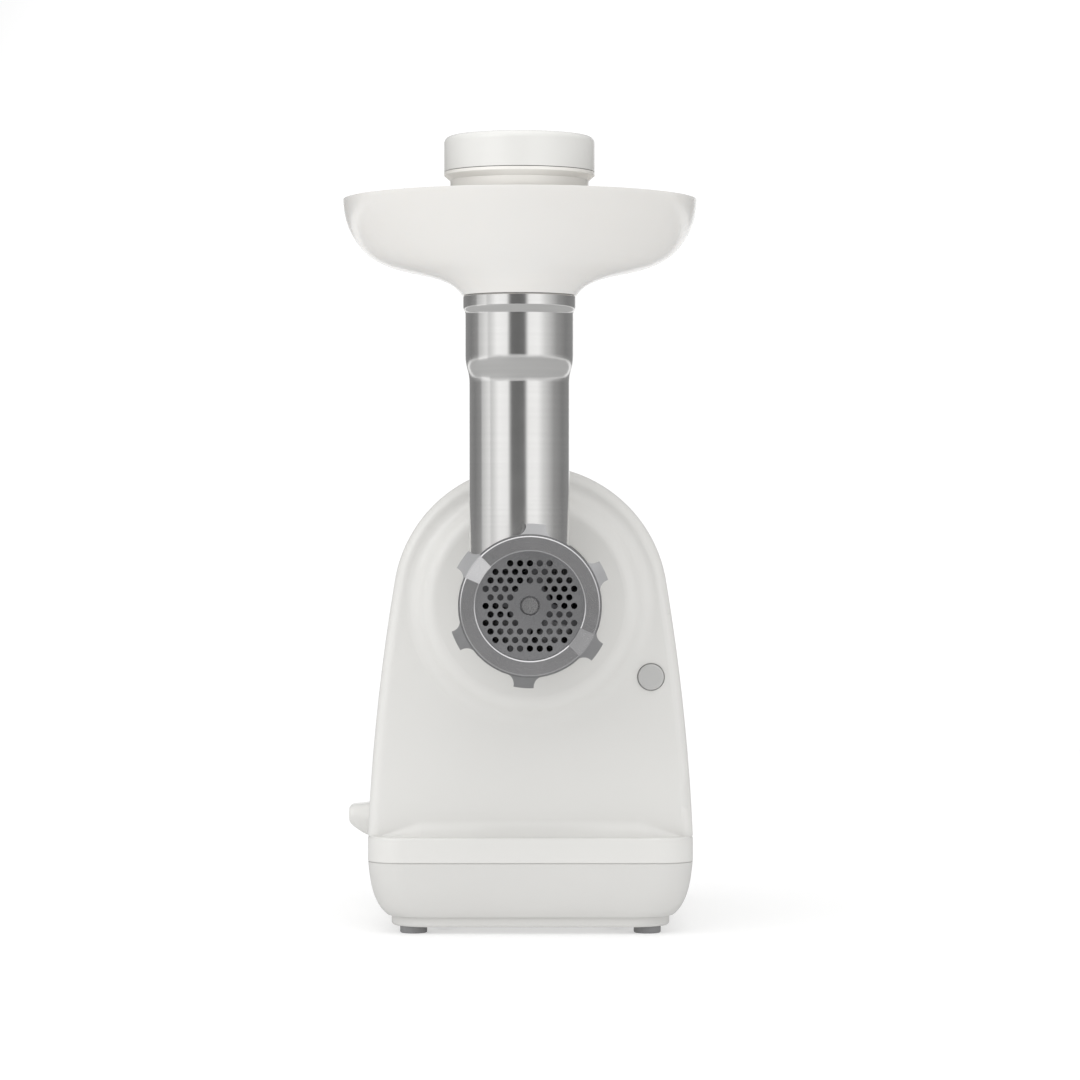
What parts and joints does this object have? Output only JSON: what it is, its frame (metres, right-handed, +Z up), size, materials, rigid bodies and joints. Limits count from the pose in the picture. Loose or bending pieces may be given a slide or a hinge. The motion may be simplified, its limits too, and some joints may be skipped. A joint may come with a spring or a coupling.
{
  "type": "electric meat grinder",
  "caption": "Upright electric meat grinder: arched white motor housing, metal head with feed tube and ring nut, round loading tray, hollow pusher and side switch.",
  "frame": {"origin": "under the middle of the whole machine, on the surface it stands on", "axes": "+Z up, the front with the ring nut faces -Y, +X to the right seen from the front; the feed tube stands on x = 0"},
  "size_m": [0.162, 0.29, 0.361],
  "materials": {
    "white_plastic": "gloss",
    "tray_plastic": "gloss",
    "base_plastic": "gloss",
    "button_plastic": "gloss",
    "inner_plastic": "matte",
    "nylon": "matte",
    "black_plastic": "matte",
    "rubber": "matte",
    "cast_aluminium": "satin",
    "polished_head": "polished",
    "steel": "satin",
    "screw_steel": "zinc plated",
    "lamination": "matte",
    "copper": "enamelled wire",
    "carbon": "matte"
  },
  "bodies": {
    "housing": {"front_housing": "white_plastic", "rear_housing": "white_plastic", "base_shell": "base_plastic", "bottom_plate": "base_plastic", "rubber_feet": "rubber", "housing_screws": "screw_steel", "base_screws": "screw_steel", "cord_gland": "rubber", "head_socket": "inner_plastic", "release_spring": "screw_steel", "rotary_switch": "black_plastic", "gear_pins": "steel", "front_bearing": "steel", "spindle_bush": "cast_aluminium", "gearbox_plate": "black_plastic", "gearbox_cover": "black_plastic", "gearbox_screws": "screw_steel", "stator_core": "lamination", "stator_coils": "copper", "motor_bearings": "steel", "motor_end_bell": "cast_aluminium", "motor_bolts": "screw_steel", "brush_holders": "black_plastic", "carbon_brushes": "carbon"},
    "head": {"head_casting": "polished_head", "auger_bush": "nylon", "grinding_disc": "steel"},
    "nut": {"ring_nut": "cast_aluminium"},
    "drive": {"auger": "cast_aluminium", "auger_shaft": "steel", "knife": "steel", "drive_spindle": "steel", "output_gear": "nylon"},
    "second_gear": {"second_gear": "steel"},
    "first_gear": {"first_gear": "nylon"},
    "rotor": {"motor_shaft": "steel", "motor_pinion": "steel", "rotor_core": "lamination", "rotor_windings": "copper", "commutator": "copper", "motor_fan": "black_plastic"},
    "tray": {"tray": "tray_plastic"},
    "pusher": {"pusher": "white_plastic"},
    "lid": {"pusher_lid": "white_plastic"},
    "button": {"release_button": "button_plastic"},
    "latch": {"release_latch": "inner_plastic"},
    "knob": {"switch_knob": "white_plastic"}
  },
  "joints": [
    {"name": "head_lock", "type": "hinge", "parent": "housing", "child": "head", "pos_m": [0.0048, -0.05, 0.152], "axis": [0, 1, 0], "range_deg": [0, 40]},
    {"name": "nut_turn", "type": "hinge", "parent": "head", "child": "nut", "pos_m": [0.0048, -0.13, 0.152], "axis": [0, -1, 0], "range_deg": [0, 540]},
    {"name": "auger_spin", "type": "hinge", "parent": "housing", "child": "drive", "pos_m": [0.0048, -0.09, 0.152], "axis": [0, 1, 0], "continuous": true},
    {"name": "second_gear_spin", "type": "hinge", "parent": "housing", "child": "second_gear", "pos_m": [0.0258, 0, 0.11251], "axis": [0, 1, 0], "continuous": true},
    {"name": "first_gear_spin", "type": "hinge", "parent": "housing", "child": "first_gear", "pos_m": [-0.00962, 0, 0.1078], "axis": [0, 1, 0], "continuous": true},
    {"name": "motor_spin", "type": "hinge", "parent": "housing", "child": "rotor", "pos_m": [0.0048, 0.06, 0.078], "axis": [0, 1, 0], "continuous": true},
    {"name": "tray_lift", "type": "slide", "parent": "head", "child": "tray", "axis": [0, 0, 1], "range_m": [0, 0.03]},
    {"name": "pusher_slide", "type": "slide", "parent": "tray", "child": "pusher", "axis": [0, 0, 1], "range_m": [0, 0.12]},
    {"name": "lid_lift", "type": "slide", "parent": "pusher", "child": "lid", "axis": [0, 0, 1], "range_m": [0, 0.02]},
    {"name": "button_press", "type": "slide", "parent": "housing", "child": "button", "axis": [0, 1, 0], "range_m": [0, 0.0035], "stiffness_N_per_m": 400, "springref_m": -0.002, "deforming": ["release_spring"]},
    {"name": "latch_slide", "type": "slide", "parent": "housing", "child": "latch", "axis": [0.8519, 0, -0.5238], "range_m": [0, 0.0025]},
    {"name": "knob_turn", "type": "hinge", "parent": "housing", "child": "knob", "pos_m": [-0.0694, 0, 0.0494], "axis": [1, 0, 0], "range_deg": [-45, 45]}
  ],
  "couplings": [
    {"joint": "second_gear_spin", "follows": "auger_spin", "ratio": -3.6364},
    {"joint": "first_gear_spin", "follows": "auger_spin", "ratio": 13.636},
    {"joint": "motor_spin", "follows": "auger_spin", "ratio": -61.364},
    {"joint": "latch_slide", "follows": "button_press", "ratio": 0.71429}
  ]
}
